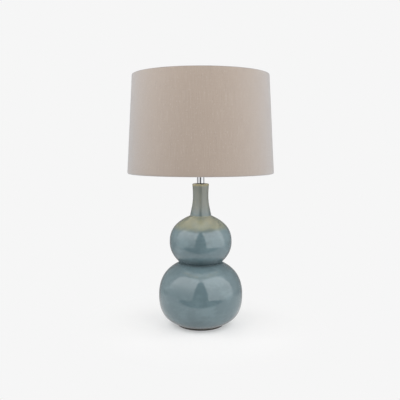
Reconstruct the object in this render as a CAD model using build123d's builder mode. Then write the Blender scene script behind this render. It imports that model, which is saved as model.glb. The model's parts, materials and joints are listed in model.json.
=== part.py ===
from build123d import *
from math import atan, cos, degrees, radians, sin
import os

os.makedirs("parts", exist_ok=True)

# A double gourd table lamp with a tapered drum shade. Millimetres, +Z up, the origin under the
# middle of the foot. The front looks along -Y, and the cord inlet is at the back, on +Y.

# ---- Driving dimensions ----------------------------------------------------------------------

# felt pad and foot
felt_thickness = 3.0
felt_inset = 2.0
foot_radius = 58.0
foot_bevel = 1.0
foot_ring_width = 11.0
foot_recess = 2.0
pour_hole_radius = 26.0

# gourd body: the rings of its outline, each with its rise over the one below, and then the
# direction and length of each curve's handles there
wall = 5.5
lower_radius = 100.5
lower_rise = 69.5
waist_radius = 50.0
waist_rise = 77.5
upper_radius = 74.7
upper_rise = 50.0
shoulder_radius = 25.7
shoulder_rise = 62.5
neck_radius = 18.6
neck_rise = 47.5
lip_radius = 20.1
lip_rise = 30.0
lip_thickness = 7.0
lip_round = 2.2
waist_round = 1.6
shoulder_round = 1.0
foot_angle = 22.0
waist_angle_below = -24.0
waist_angle_above = 44.0
shoulder_angle_below = -23.5
shoulder_angle_above = 99.5
foot_handle = 34.4
lower_handle_down = 36.5
lower_handle_up = 38.0
waist_handle_below = 38.2
waist_handle_above = 19.2
upper_handle_down = 22.6
upper_handle_up = 26.1
shoulder_handle_below = 41.4
shoulder_handle_above = 13.5
neck_handle_down = 20.3
neck_handle_up = 12.0
lip_handle = 8.0
lip_lean = 0.5

# cord inlet in the back of the lower bulb
inlet_place = 0.5            # share of the way up the curve from the foot to the widest ring
cord_bore_radius = 3.75
grommet_wall = 1.25
grommet_clearance = 0.1
grommet_flange_width = 2.6
grommet_flange_thickness = 1.6
grommet_round = 0.5
grommet_tail = 2.6
grommet_barb = 0.6
barb_clearance = 0.8
spot_face_depth = 0.6

# neck fixing: a hollow threaded nipple, clamped through the lip by a nut from inside
nipple_radius = 5.0
nipple_wall = 1.0
nipple_below_lip = 15.0
nipple_above_cap_floor = 2.0
thread_clearance = 0.05
hole_clearance = 0.3
washer_edge_gap = 1.6
washer_thickness = 2.0
nut_across_flats = 14.0
nut_thickness = 4.0
gasket_proud = 0.45
gasket_thickness = 1.0
tube_radius = 8.75
tube_wall = 1.0
tube_length = 27.0
tube_bevel = 0.3

# light bulb
bulb_length = 105.0
bulb_radius = 30.0
bulb_cap_radius = 13.2
bulb_cap_length = 22.0
bulb_cap_wall = 0.4
bulb_cap_taper = 2.4
bulb_cap_turn_in = 1.0
bulb_cap_flare = 1.5
bulb_thread_pitch = 3.63
bulb_thread_depth = 0.9
bulb_thread_turns = 4
pip_radius = 4.8
pip_height = 1.8
insulator_radius = 10.6
insulator_height = 3.4
insulator_lip = 1.5
glass_thickness = 0.9
glass_clearance = 0.2
glass_in_cap = 4.0
glass_neck_handle = 27.0
glass_belly_handle = 20.0
flare_height = 9.0
flare_edge = 1.2
stem_radius = 5.0
stem_taper = 8.0
stem_tip_radius = 2.2
stem_tip_height = 2.0
stem_length = 30.0
post_radius = 0.9
post_length = 36.0
strip_count = 4
strip_first_angle = 45.0
strip_radius = 1.2
strip_length = 36.0
strip_drop = 2.0
strip_foot_circle = 11.0
strip_head_circle = 7.0
lead_radius = 0.45
foot_lead_drop = 6.0
head_lead_drop = 2.0

# lampholder, built outwards from the bulb's cap
shell_clearance = 0.5
shell_wall = 0.6
shell_length = 24.0
skirt_gap = 2.3
skirt_wall = 3.4
skirt_length = 29.0
skirt_flange_width = 5.0
skirt_flange_thickness = 2.5
skirt_mouth_gap = 2.2
skirt_lip_thickness = 2.4
skirt_lip_round = 0.6
core_hold = 0.6
core_clearance = 0.1
core_thickness = 5.0
core_rise = 1.0
core_seat_width = 1.2
pedestal_radius = 10.5
pedestal_height = 1.5
spigot_wall = 1.2
spigot_length = 3.6
cap_rim_wall = 1.95
cap_height = 35.0
cap_wall = 2.4
cap_collar_proud = 1.75
cap_collar_height = 6.0
grub_radius = 1.5
grub_height = 3.0
grub_socket_radius = 0.8
grub_socket_depth = 1.5
channel_length = 24.0
channel_wall = 2.0
terminal_size = 6.0
terminal_corner = 0.8
terminal_length = 7.0
terminal_edge_gap = 0.6
terminal_screw_radius = 1.7
terminal_screw_length = 6.0
screw_head_radius = 2.7
screw_head_height = 1.4
screw_slot_width = 0.7
leaf_width = 5.0
leaf_thickness = 0.4
leaf_rise = 2.0
leaf_foot_length = 5.5
leaf_slope_length = 2.5
leaf_top_length = 4.5
leaf_past_axis = 3.0
bulb_clearance = 0.2

# push-through switch bar
bar_radius = 3.3
bar_round = 1.4
bar_proud = 3.5
bar_travel = 6.0
bar_drop = 8.0
bar_clearance = 0.3
bar_flat_depth = 1.0
bar_flat_margin = 1.0
bridge_length = 8.0
bridge_width = 5.0
bridge_corner = 1.0
bridge_thickness = 0.8
bridge_stand = 0.8
bridge_rivet_radius = 1.6
pin_radius = 1.2

# shade ring
ring_height = 7.4
ring_width = 7.0
ring_grip_count = 24
ring_grip_radius = 1.1
seat_gap = 0.1

# shade and its wire carrier
shade_drop = 40.6            # how far the shade hangs below its carrier
shade_height = 235.0
shade_bottom_radius = 175.0
shade_top_radius = 164.0
fabric_thickness = 0.6
liner_thickness = 0.4
laminate_gap = 0.05
wire_radius = 1.5
wire_gap = 0.4
roll_turn = 255.0
seam_lap = 10.0
seam_proud = 0.5
carrier_clearance = 0.6
carrier_ring_thickness = 1.8
arm_radius = 1.5
arm_count = 3
arm_first_angle = 30.0
arm_weld = 1.5
arm_ring_gap = 0.5
arm_slit_clearance = 0.3
arm_inner_run = 12.0
arm_outer_run = 24.0
arm_bend_radius = 10.0

# ---- Radii and heights that follow from them -------------------------------------------------

shell_bore_radius = bulb_cap_radius + shell_clearance
shell_radius = shell_bore_radius + shell_wall
skirt_bore_radius = shell_radius + skirt_gap
skirt_radius = skirt_bore_radius + skirt_wall
core_radius = skirt_bore_radius + core_hold
core_bore_radius = core_radius + core_clearance
spigot_radius = core_bore_radius + spigot_wall
cap_bore_radius = spigot_radius + thread_clearance
cap_radius = cap_bore_radius + cap_rim_wall
cap_collar_radius = tube_radius + cap_collar_proud
cavity_radius = core_radius - core_seat_width
ring_bore_radius = skirt_radius + hole_clearance
ring_radius = skirt_radius + ring_width
arm_start_radius = ring_radius + arm_ring_gap
carrier_ring_radius = arm_start_radius + arm_weld
nipple_hole_radius = nipple_radius + hole_clearance
nipple_thread_bore = nipple_radius + thread_clearance

foot_plane = felt_thickness
lower_height = foot_plane + lower_rise
waist_height = lower_height + waist_rise
upper_height = waist_height + upper_rise
shoulder_height = upper_height + shoulder_rise
neck_height = shoulder_height + neck_rise
body_top = neck_height + lip_rise
lip_underside = body_top - lip_thickness
tube_bottom = body_top + gasket_thickness
cap_bottom = tube_bottom + tube_length
collar_top = cap_bottom + cap_collar_height
cavity_floor = collar_top + cap_wall
cap_top = cap_bottom + cap_height
core_top = cap_top + core_rise
core_bottom = core_top - core_thickness
bar_axis_height = core_bottom - bar_drop
flange_top = cap_top + skirt_flange_thickness
skirt_top = cap_top + skirt_length
carrier_bottom = flange_top + seat_gap
carrier_top = carrier_bottom + carrier_ring_thickness
ring_bottom = carrier_top + seat_gap
shade_bottom = carrier_bottom - shade_drop
shade_top = shade_bottom + shade_height
leaf_foot = core_top + pedestal_height
leaf_top = leaf_foot + leaf_rise
pip_bottom = leaf_top + bulb_clearance
insulator_bottom = pip_bottom + pip_height
bulb_cap_bottom = insulator_bottom + insulator_height
bulb_cap_top = bulb_cap_bottom + bulb_cap_length
bulb_top = pip_bottom + bulb_length


def step_from(point, angle, distance):
    """The point at a distance from another, in a direction given in degrees."""
    return (point[0] + distance * cos(radians(angle)), point[1] + distance * sin(radians(angle)))


def handled_curve(start, start_angle, start_handle, end, end_angle, end_handle):
    """One curve of an outline between two points, leaving each along its own handle."""
    return Bezier(
        start,
        step_from(start, start_angle, start_handle),
        step_from(end, end_angle, end_handle),
        end,
    )


ring_finding_margin = 0.01


def ring_edges(piece, radius, height):
    """The round edges of a turned piece that lie at one radius and height."""
    lowest = height - ring_finding_margin
    highest = height + ring_finding_margin
    level_rings = piece.edges().filter_by(GeomType.CIRCLE).filter_by_position(Axis.Z, lowest, highest)
    return level_rings.filter_by(lambda edge: abs(edge.radius - radius) < ring_finding_margin)


# ---- Gourd body ------------------------------------------------------------------------------

foot = (foot_radius, foot_plane + foot_bevel)
lower_ring = (lower_radius, lower_height)
waist = (waist_radius, waist_height)
upper_ring = (upper_radius, upper_height)
shoulder = (shoulder_radius, shoulder_height)
neck = (neck_radius, neck_height)
lip = (lip_radius, body_top)
recess_radius = foot_radius - foot_bevel - foot_ring_width
grommet_barrel_radius = cord_bore_radius + grommet_wall
grommet_flange_radius = grommet_barrel_radius + grommet_flange_width


def gourd_side(inset):
    """Draws the gourd's side from the foot to the neck, moved into the wall by inset, and gives its
    lowest curve and its two ends. Handles shorten as a parallel curve's do."""
    lower_share = 1 - inset / lower_rise
    upper_share = 1 - inset / upper_rise
    start = step_from(foot, foot_angle + 90, inset)
    low = (lower_ring[0] - inset, lower_ring[1])
    waist_below = step_from(waist, waist_angle_below - 90, inset)
    waist_above = step_from(waist, waist_angle_above + 90, inset)
    high = (upper_ring[0] - inset, upper_ring[1])
    shoulder_below = step_from(shoulder, shoulder_angle_below - 90, inset)
    shoulder_above = step_from(shoulder, shoulder_angle_above + 90, inset)
    narrow = (neck[0] - inset, neck[1])
    foot_curve = handled_curve(start, foot_angle, foot_handle * lower_share,
                               low, -90, lower_handle_down * lower_share)
    handled_curve(low, 90, lower_handle_up * lower_share,
                  waist_below, waist_angle_below, waist_handle_below * lower_share)
    handled_curve(waist_above, waist_angle_above, waist_handle_above * upper_share,
                  high, -90, upper_handle_down * upper_share)
    handled_curve(high, 90, upper_handle_up * upper_share,
                  shoulder_below, shoulder_angle_below, shoulder_handle_below * upper_share)
    handled_curve(shoulder_above, shoulder_angle_above, shoulder_handle_above,
                  narrow, -90, neck_handle_down)
    if inset:
        ThreePointArc(waist_below, (waist[0] - inset, waist[1]), waist_above)
        between = (shoulder_angle_below - 90 + shoulder_angle_above + 90 - 360) / 2
        ThreePointArc(shoulder_below, step_from(shoulder, between, inset), shoulder_above)
    return foot_curve, start, narrow


with BuildPart() as gourd_body:
    with BuildSketch(Plane.XZ):
        with BuildLine():
            foot_curve, _, _ = gourd_side(0)
            Bezier(neck, (neck[0], neck[1] + neck_handle_up),
                   (lip[0] - lip_lean, lip[1] - lip_handle), lip)
            Line(lip, (nipple_hole_radius, body_top))
            Line((nipple_hole_radius, body_top), (nipple_hole_radius, lip_underside))
            _, cavity_foot, cavity_neck = gourd_side(wall)
            Polyline((nipple_hole_radius, lip_underside), (cavity_neck[0], lip_underside), cavity_neck)
            Polyline(
                cavity_foot,
                (pour_hole_radius, cavity_foot[1]),
                (pour_hole_radius, foot_plane + foot_recess),
                (recess_radius, foot_plane + foot_recess),
                (recess_radius, foot_plane),
                (foot_radius - foot_bevel, foot_plane),
                foot,
            )
        make_face()
    revolve(axis=Axis.Z)
    for ring, softening in ((lip, lip_round), (waist, waist_round), (shoulder, shoulder_round)):
        fillet(ring_edges(gourd_body, *ring), softening)
    # the cord hole stands square to the glaze, with a flat ground round it for the grommet's flange
    inlet_point = foot_curve @ inlet_place
    inlet_tangent = foot_curve % inlet_place
    inlet_plane = Plane(
        origin=(0, inlet_point.X, inlet_point.Y),
        x_dir=(1, 0, 0),
        z_dir=(0, inlet_tangent.Y, -inlet_tangent.X),
    )
    with BuildSketch(inlet_plane.offset(-spot_face_depth)):
        Circle(grommet_flange_radius + hole_clearance)
    extrude(amount=wall, mode=Mode.SUBTRACT)
    with BuildSketch(inlet_plane):
        Circle(grommet_barrel_radius + grommet_clearance)
    extrude(amount=2 * wall, both=True, mode=Mode.SUBTRACT)
gourd_body.part.label = "gourd_body"

with BuildPart() as felt_pad:
    with BuildSketch():
        Circle(foot_radius - felt_inset)
    extrude(amount=felt_thickness)
felt_pad.part.label = "felt_pad"

# ---- Cord grommet: a snap-in bush with a rounded flange and a barb behind the wall -------------

with BuildPart() as cord_grommet:
    barrel_end = -(wall + grommet_tail)
    section_normal = Vector(1, 0, 0).cross(inlet_plane.z_dir)
    with BuildSketch(Plane(origin=inlet_plane.origin, x_dir=(1, 0, 0), z_dir=section_normal)):
        with BuildLine():
            flange_foot = -spot_face_depth
            flange_head = flange_foot + grommet_flange_thickness
            barb_seat = -(wall + barb_clearance)
            Polyline(
                (cord_bore_radius, barrel_end),
                (cord_bore_radius, flange_head),
                (grommet_flange_radius, flange_head),
                (grommet_flange_radius, flange_foot),
                (grommet_barrel_radius, flange_foot),
                (grommet_barrel_radius, barb_seat),
                (grommet_barrel_radius + grommet_barb, barb_seat),
                (grommet_barrel_radius - grommet_barb, barrel_end),
                close=True,
            )
        make_face()
    inlet_axis = Axis(inlet_plane.origin, inlet_plane.z_dir)
    revolve(axis=inlet_axis)
    rims = cord_grommet.edges().filter_by(GeomType.CIRCLE).group_by(inlet_axis)[-1]
    fillet(rims, grommet_round)
cord_grommet.part.label = "cord_grommet"

# ---- Neck fixing -----------------------------------------------------------------------------

with BuildPart() as neck_nipple:
    with BuildSketch(Plane.XY.offset(lip_underside - nipple_below_lip)):
        Circle(nipple_radius)
        Circle(nipple_radius - nipple_wall, mode=Mode.SUBTRACT)
    extrude(amount=cavity_floor + nipple_above_cap_floor - lip_underside + nipple_below_lip)
neck_nipple.part.label = "neck_nipple"

with BuildPart() as inner_washer:
    with BuildSketch(Plane.XY.offset(lip_underside - washer_thickness)):
        Circle(neck_radius - wall - washer_edge_gap)
        Circle(nipple_hole_radius, mode=Mode.SUBTRACT)
    extrude(amount=washer_thickness)
inner_washer.part.label = "inner_washer"

with BuildPart() as nipple_nut:
    with BuildSketch(Plane.XY.offset(lip_underside - washer_thickness - nut_thickness)):
        RegularPolygon(nut_across_flats / 2, 6, major_radius=False)
        Circle(nipple_thread_bore, mode=Mode.SUBTRACT)
    extrude(amount=nut_thickness)
nipple_nut.part.label = "nipple_nut"

with BuildPart() as neck_gasket:
    with BuildSketch(Plane.XY.offset(body_top)):
        Circle(tube_radius + gasket_proud)
        Circle(nipple_hole_radius, mode=Mode.SUBTRACT)
    extrude(amount=gasket_thickness)
neck_gasket.part.label = "neck_gasket"

with BuildPart() as neck_tube:
    with BuildSketch(Plane.XY.offset(tube_bottom)):
        Circle(tube_radius)
        Circle(tube_radius - tube_wall, mode=Mode.SUBTRACT)
    extrude(amount=tube_length)
    for end in (tube_bottom, cap_bottom):
        chamfer(ring_edges(neck_tube, tube_radius, end), tube_bevel)
neck_tube.part.label = "neck_tube"

# ---- Lampholder ------------------------------------------------------------------------------

dome_radius = cap_radius - cap_collar_radius
dome_top = collar_top + dome_radius

with BuildPart() as holder_cap:
    with BuildSketch(Plane.XZ):
        with BuildLine():
            cavity_round = dome_radius - cap_wall
            Polyline((nipple_thread_bore, cavity_floor), (nipple_thread_bore, cap_bottom),
                     (cap_collar_radius, cap_bottom), (cap_collar_radius, collar_top))
            RadiusArc((cap_collar_radius, collar_top), (cap_radius, dome_top), -dome_radius)
            Polyline((cap_radius, dome_top), (cap_radius, cap_top), (cap_bore_radius, cap_top),
                     (cap_bore_radius, core_bottom), (cavity_radius, core_bottom),
                     (cavity_radius, cavity_floor + cavity_round))
            RadiusArc((cavity_radius, cavity_floor + cavity_round),
                      (cavity_radius - cavity_round, cavity_floor), cavity_round)
            Line((cavity_radius - cavity_round, cavity_floor), (nipple_thread_bore, cavity_floor))
        make_face()
    revolve(axis=Axis.Z)
    # the bar passes through from side to side, and the grub screw comes in from the back
    with BuildSketch(Plane.YZ):
        with Locations((0, bar_axis_height)):
            Circle(bar_radius + bar_clearance)
    extrude(amount=2 * cap_radius, both=True, mode=Mode.SUBTRACT)
    with BuildSketch(Plane.XZ):
        with Locations((0, cap_bottom + grub_height)):
            Circle(grub_radius + thread_clearance)
    extrude(amount=-2 * cap_radius, mode=Mode.SUBTRACT)
holder_cap.part.label = "holder_cap"

with BuildPart() as cap_grub_screw:
    with BuildSketch(Plane.XZ.offset(-nipple_thread_bore)):
        with Locations((0, cap_bottom + grub_height)):
            Circle(grub_radius)
    extrude(amount=nipple_thread_bore - cap_collar_radius)
    # a hexagon socket in the outer end
    with BuildSketch(Plane.XZ.offset(-cap_collar_radius)):
        with Locations((0, cap_bottom + grub_height)):
            RegularPolygon(grub_socket_radius, 6)
    extrude(amount=grub_socket_depth, mode=Mode.SUBTRACT)
cap_grub_screw.part.label = "cap_grub_screw"

channel_half = bar_radius + bar_clearance
channel_bottom = bar_axis_height - bar_radius
terminal_bottom = core_bottom - terminal_length
terminal_offset = cavity_radius - terminal_edge_gap - terminal_size / 2
terminal_places = ((0, terminal_offset), (0, -terminal_offset))

with BuildPart() as holder_core:
    with BuildSketch(Plane.XY.offset(core_bottom)):
        Circle(core_radius)
    extrude(amount=core_thickness)
    with BuildSketch(Plane.XY.offset(core_top)):
        Circle(pedestal_radius)
    extrude(amount=pedestal_height)
    # two walls hang from the disc and guide the switch bar
    with BuildSketch(Plane.XY.offset(core_bottom)):
        with Locations((0, channel_half + channel_wall / 2), (0, -channel_half - channel_wall / 2)):
            Rectangle(channel_length, channel_wall)
    extrude(amount=channel_bottom - core_bottom)
holder_core.part.label = "holder_core"

with BuildPart() as terminal_blocks:
    with BuildSketch(Plane.XY.offset(terminal_bottom)):
        with Locations(terminal_places):
            RectangleRounded(terminal_size, terminal_size, terminal_corner)
            Circle(terminal_screw_radius + thread_clearance, mode=Mode.SUBTRACT)
    extrude(amount=terminal_length)
terminal_blocks.part.label = "terminal_blocks"

with BuildPart() as terminal_screws:
    with BuildSketch(Plane.XY.offset(terminal_bottom)):
        with Locations(terminal_places):
            Circle(terminal_screw_radius)
    extrude(amount=terminal_screw_length)
    with BuildSketch(Plane.XY.offset(terminal_bottom)):
        with Locations(terminal_places):
            Circle(screw_head_radius)
            Rectangle(2 * screw_head_radius, screw_slot_width, mode=Mode.SUBTRACT)
    extrude(amount=-screw_head_height)
terminal_screws.part.label = "terminal_screws"

with BuildPart() as centre_contact:
    # a bent leaf: its foot lies on the pedestal, and its raised end meets the bulb's pip
    with BuildSketch(Plane.XZ):
        with BuildLine():
            slope_end = leaf_past_axis - leaf_top_length
            slope_start = slope_end - leaf_slope_length
            Polyline(
                (slope_start - leaf_foot_length, leaf_foot),
                (slope_start, leaf_foot),
                (slope_end, leaf_top - leaf_thickness),
                (leaf_past_axis, leaf_top - leaf_thickness),
            )
            offset(amount=leaf_thickness, side=Side.LEFT, kind=Kind.INTERSECTION)
        make_face()
    extrude(amount=leaf_width / 2, both=True)
centre_contact.part.label = "centre_contact"

with BuildPart() as screw_shell:
    with BuildSketch(Plane.XZ):
        with BuildLine():
            shell_foot = pedestal_radius + hole_clearance
            Polyline(
                (shell_foot, core_top),
                (shell_radius, core_top),
                (shell_radius, core_top + shell_length),
                (shell_bore_radius, core_top + shell_length),
                (shell_bore_radius, core_top + shell_wall),
                (shell_foot, core_top + shell_wall),
                close=True,
            )
        make_face()
    revolve(axis=Axis.Z)
screw_shell.part.label = "screw_shell"

with BuildPart() as holder_skirt:
    with BuildSketch(Plane.XZ):
        with BuildLine():
            # a threaded spigot screws into the cap, and the shoulder above it holds the core down
            lip_bottom = skirt_top - skirt_lip_thickness
            mouth_radius = bulb_cap_radius + skirt_mouth_gap
            flange_radius = skirt_radius + skirt_flange_width
            Polyline(
                (core_bore_radius, cap_top - spigot_length),
                (spigot_radius, cap_top - spigot_length),
                (spigot_radius, cap_top),
                (flange_radius, cap_top),
                (flange_radius, flange_top),
                (skirt_radius, flange_top),
                (skirt_radius, skirt_top),
                (mouth_radius, skirt_top),
                (mouth_radius, lip_bottom),
                (skirt_bore_radius, lip_bottom),
                (skirt_bore_radius, core_top + seat_gap),
                (core_bore_radius, core_top + seat_gap),
                close=True,
            )
        make_face()
    revolve(axis=Axis.Z)
    top_rims = holder_skirt.edges().filter_by(GeomType.CIRCLE).group_by(Axis.Z)[-1]
    fillet(top_rims, skirt_lip_round)
holder_skirt.part.label = "holder_skirt"

# ---- Push-through switch bar -----------------------------------------------------------------

bar_length = 2 * (cap_radius + bar_proud) + bar_travel
bar_start = -(cap_radius + bar_proud)
bar_flat_height = bar_axis_height + bar_radius - bar_flat_depth
bridge_bottom = bar_flat_height + bridge_stand
pin_spacing = bridge_length - 2 * pin_radius

with BuildPart() as switch_bar:
    with BuildSketch(Plane.YZ.offset(bar_start)):
        with Locations((0, bar_axis_height)):
            Circle(bar_radius)
    extrude(amount=bar_length)
    fillet(switch_bar.edges().filter_by(GeomType.CIRCLE), bar_round)
    # a flat on top, where the contact bridge is riveted
    with BuildSketch(Plane.XY.offset(bar_flat_height)):
        with Locations((bar_travel / 2, 0)):
            Rectangle(bridge_length + 2 * bar_flat_margin, 2 * bar_radius)
    extrude(amount=bar_flat_depth, mode=Mode.SUBTRACT)
switch_bar.part.label = "switch_bar"

with BuildPart() as switch_bridge:
    with BuildSketch(Plane.XY.offset(bridge_bottom)):
        with Locations((bar_travel / 2, 0)):
            RectangleRounded(bridge_length, bridge_width, bridge_corner)
    extrude(amount=bridge_thickness)
    with BuildSketch(Plane.XY.offset(bar_flat_height)):
        with Locations((bar_travel / 2, 0)):
            Circle(bridge_rivet_radius)
    extrude(amount=bridge_stand)
switch_bridge.part.label = "switch_bridge"

with BuildPart() as switch_pins:
    pin_bottom = bridge_bottom + bridge_thickness + seat_gap
    with BuildSketch(Plane.XY.offset(pin_bottom)):
        with Locations((-bar_travel / 2, 0)):
            with GridLocations(pin_spacing, 0, 2, 1):
                Circle(pin_radius)
    extrude(amount=core_bottom - pin_bottom)
switch_pins.part.label = "switch_pins"

# ---- Shade ring: a threaded collar with finger grips -------------------------------------------

with BuildPart() as shade_ring:
    with BuildSketch(Plane.XY.offset(ring_bottom)):
        Circle(ring_radius)
        Circle(ring_bore_radius, mode=Mode.SUBTRACT)
        with PolarLocations(ring_radius, ring_grip_count):
            Circle(ring_grip_radius, mode=Mode.SUBTRACT)
    extrude(amount=ring_height)
shade_ring.part.label = "shade_ring"

# ---- Shade -----------------------------------------------------------------------------------

roll_bore = wire_radius + wire_gap
roll_radius = roll_bore + fabric_thickness
wire_bottom_r = shade_bottom_radius - roll_radius
wire_bottom_z = shade_bottom + roll_radius
wire_top_r = shade_top_radius - roll_radius
wire_top_z = shade_top - roll_radius
shade_lean = degrees(atan((wire_bottom_r - wire_top_r) / (wire_top_z - wire_bottom_z)))
low_wire = (wire_bottom_r, wire_bottom_z)
high_wire = (wire_top_r, wire_top_z)
arm_height = (carrier_bottom + carrier_top) / 2
slit_width = 2 * (arm_radius + arm_slit_clearance)
seam_angle = degrees(seam_lap / shade_bottom_radius)


def arm_plane(turn):
    """The upright plane through the axis that holds one arm of the carrier."""
    return Plane.XZ.rotated((0, 0, arm_first_angle + 360 / arm_count * turn))


def wall_strip(outer_offset, inner_offset, end_margin):
    """The section of a layer between the wires, between two offsets outwards from the wires' line."""
    along = 90 + shade_lean
    foot_point = step_from(low_wire, along, end_margin)
    head_point = step_from(high_wire, along, -end_margin)
    return Polyline(
        step_from(foot_point, shade_lean, outer_offset),
        step_from(head_point, shade_lean, outer_offset),
        step_from(head_point, shade_lean, inner_offset),
        step_from(foot_point, shade_lean, inner_offset),
        close=True,
    )


with BuildPart() as shade_fabric:
    # the cloth runs straight down the outside, rolls round each wire and ends on top of it inside
    with BuildSketch(Plane.XZ):
        with BuildLine():
            for wire, turn in ((low_wire, -1), (high_wire, 1)):
                roll_sweep = turn * roll_turn - shade_lean
                outer_roll = CenterArc(wire, roll_radius, shade_lean, roll_sweep)
                inner_roll = CenterArc(wire, roll_bore, shade_lean, roll_sweep)
                Line(outer_roll @ 1, inner_roll @ 1)
            for offset in (roll_radius, roll_bore):
                Line(step_from(low_wire, shade_lean, offset), step_from(high_wire, shade_lean, offset))
        make_face()
    revolve(axis=Axis.Z)
    # the cloth is cut away round each arm, where it reaches the bottom wire
    for turn in range(arm_count):
        with BuildSketch(arm_plane(turn).offset(-slit_width / 2)):
            with Locations((wire_bottom_r - roll_radius, wire_bottom_z)):
                Rectangle(2 * roll_radius, slit_width)
        extrude(amount=slit_width, mode=Mode.SUBTRACT)
    # down the back its end is lapped over its start and glued
    with BuildSketch(Plane.XZ.rotated((0, 0, 90 - seam_angle / 2))):
        with BuildLine():
            wall_strip(roll_radius + seam_proud, roll_radius - laminate_gap, 0)
        make_face()
    revolve(axis=Axis.Z, revolution_arc=seam_angle)
shade_fabric.part.label = "shade_fabric"

with BuildPart() as shade_liner:
    with BuildSketch(Plane.XZ):
        with BuildLine():
            liner_face = roll_bore - laminate_gap
            wall_strip(liner_face, liner_face - liner_thickness, roll_bore)
        make_face()
    revolve(axis=Axis.Z)
shade_liner.part.label = "shade_liner"

with BuildPart() as top_wire_ring:
    with BuildSketch(Plane.XZ):
        with Locations(high_wire):
            Circle(wire_radius)
    revolve(axis=Axis.Z)
top_wire_ring.part.label = "top_wire_ring"

with BuildPart() as bottom_wire_ring:
    with BuildSketch(Plane.XZ):
        with Locations(low_wire):
            Circle(wire_radius)
    revolve(axis=Axis.Z)
bottom_wire_ring.part.label = "bottom_wire_ring"

with BuildPart() as carrier_ring:
    with BuildSketch(Plane.XY.offset(carrier_bottom)):
        Circle(carrier_ring_radius)
        Circle(skirt_radius + carrier_clearance, mode=Mode.SUBTRACT)
    extrude(amount=carrier_ring_thickness)
carrier_ring.part.label = "carrier_ring"

with BuildPart() as carrier_arms:
    # cranked wires, welded to the flat ring inside and to the bottom wire outside
    for turn in range(arm_count):
        with BuildLine(arm_plane(turn)) as arm_path:
            FilletPolyline(
                (arm_start_radius, arm_height),
                (carrier_ring_radius + arm_inner_run, arm_height),
                (wire_bottom_r - arm_outer_run, wire_bottom_z),
                (wire_bottom_r, wire_bottom_z),
                radius=arm_bend_radius,
            )
        with BuildSketch(Plane(origin=arm_path.line @ 0, z_dir=arm_path.line % 0)):
            Circle(arm_radius)
        sweep(path=arm_path.line)
    add(carrier_ring.part, mode=Mode.SUBTRACT)
    add(bottom_wire_ring.part, mode=Mode.SUBTRACT)
carrier_arms.part.label = "carrier_arms"

# ---- Light bulb ------------------------------------------------------------------------------

thread_bottom = bulb_cap_bottom + bulb_cap_taper
thread_root_radius = bulb_cap_radius - bulb_thread_depth
cap_flare_bottom = bulb_cap_top - bulb_cap_flare
glass_seat = bulb_cap_top - glass_in_cap
glass_neck_radius = thread_root_radius - bulb_cap_wall - glass_clearance
bulb_middle = bulb_top - bulb_radius

with BuildPart() as bulb_contact:
    with BuildSketch(Plane.XZ):
        with BuildLine():
            Line((0, pip_bottom), (0, pip_bottom + pip_height))
            Line((0, pip_bottom + pip_height), (pip_radius, pip_bottom + pip_height))
            Bezier((pip_radius, pip_bottom + pip_height), (pip_radius, pip_bottom + pip_height / 3),
                   (pip_radius / 2, pip_bottom), (0, pip_bottom))
        make_face()
    revolve(axis=Axis.Z)
bulb_contact.part.label = "bulb_contact"

with BuildPart() as bulb_insulator:
    with BuildSketch(Plane.XZ):
        with BuildLine():
            Polyline(
                (0, insulator_bottom),
                (pip_radius, insulator_bottom),
                (insulator_radius, bulb_cap_bottom),
                (insulator_radius - bulb_cap_wall, bulb_cap_bottom + insulator_lip),
                (0, bulb_cap_bottom + insulator_lip),
                close=True,
            )
        make_face()
    revolve(axis=Axis.Z)
bulb_insulator.part.label = "bulb_insulator"

with BuildPart() as bulb_cap:
    # a thin shell with a rolled thread, drawn as rounded rings at its pitch
    with BuildSketch(Plane.XZ):
        with BuildLine():
            Line((insulator_radius, bulb_cap_bottom), (thread_root_radius, thread_bottom))
            for turn in range(bulb_thread_turns):
                ridge_bottom = thread_bottom + turn * bulb_thread_pitch
                ThreePointArc(
                    (thread_root_radius, ridge_bottom),
                    (bulb_cap_radius, ridge_bottom + bulb_thread_pitch / 2),
                    (thread_root_radius, ridge_bottom + bulb_thread_pitch),
                )
            Polyline(
                (thread_root_radius, thread_bottom + bulb_thread_turns * bulb_thread_pitch),
                (thread_root_radius, cap_flare_bottom),
                (bulb_cap_radius, bulb_cap_top),
                (bulb_cap_radius - bulb_cap_wall, bulb_cap_top),
                (thread_root_radius - bulb_cap_wall, cap_flare_bottom),
                (thread_root_radius - bulb_cap_wall, thread_bottom),
                (insulator_radius, bulb_cap_bottom + bulb_cap_turn_in),
                (insulator_radius, bulb_cap_bottom),
            )
        make_face()
    revolve(axis=Axis.Z)
bulb_cap.part.label = "bulb_cap"


def glass_outline(inset):
    """The glass from its neck up to the crown, moved inwards by inset."""
    neck_low = (glass_neck_radius - inset, glass_seat)
    neck_mouth = (glass_neck_radius - inset, cap_flare_bottom)
    middle = (bulb_radius - inset, bulb_middle)
    crown = (0, bulb_top - inset)
    Line(neck_low, neck_mouth)
    Bezier(neck_mouth, (neck_mouth[0], neck_mouth[1] + glass_neck_handle),
           (middle[0], middle[1] - glass_belly_handle), middle)
    RadiusArc(middle, crown, -(bulb_radius - inset))
    return neck_low, crown


with BuildPart() as bulb_glass:
    with BuildSketch(Plane.XZ):
        with BuildLine():
            outer_foot, outer_crown = glass_outline(0)
            inner_foot, inner_crown = glass_outline(glass_thickness)
            Line(outer_foot, inner_foot)
            Line(outer_crown, inner_crown)
        make_face()
    revolve(axis=Axis.Z)
bulb_glass.part.label = "bulb_glass"

stem_top = glass_seat + stem_length
post_top = stem_top + post_length

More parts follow.
